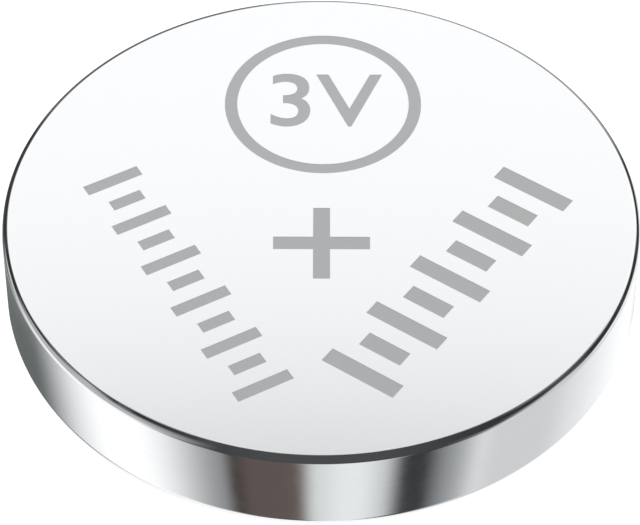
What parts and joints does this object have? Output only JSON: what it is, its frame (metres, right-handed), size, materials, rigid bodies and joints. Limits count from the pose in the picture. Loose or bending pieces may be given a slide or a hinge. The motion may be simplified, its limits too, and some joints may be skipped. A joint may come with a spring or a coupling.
{
  "type": "lithium coin cell",
  "caption": "Flat round battery: polished steel can with a plus on its face, curled over a plastic seal round a raised negative face.",
  "frame": {"origin": "centre of the negative face, in the plane that the cell rests on", "axes": "+Z along the cell's axis, from the negative face to the positive face; +X to the right as the plus sign is read, -Y towards the reader"},
  "size_m": [0.02, 0.02, 0.0032],
  "materials": {
    "can_plating": "bright nickel plating over deep-drawn steel, with a satin face",
    "cap_steel": "matt nickel-plated steel",
    "gasket_plastic": "moulded polypropylene",
    "cathode_mass": "pressed manganese dioxide and graphite, dull black",
    "ring_steel": "plain stainless strip",
    "separator_fleece": "white polypropylene nonwoven",
    "lithium_metal": "soft rolled lithium, dull silver"
  },
  "bodies": {
    "root": {"positive_can": "can_plating", "sealing_gasket": "gasket_plastic", "negative_cap": "cap_steel", "cathode_pellet": "cathode_mass", "cathode_ring": "ring_steel", "separator": "separator_fleece", "lithium_anode": "lithium_metal"}
  },
  "joints": []
}
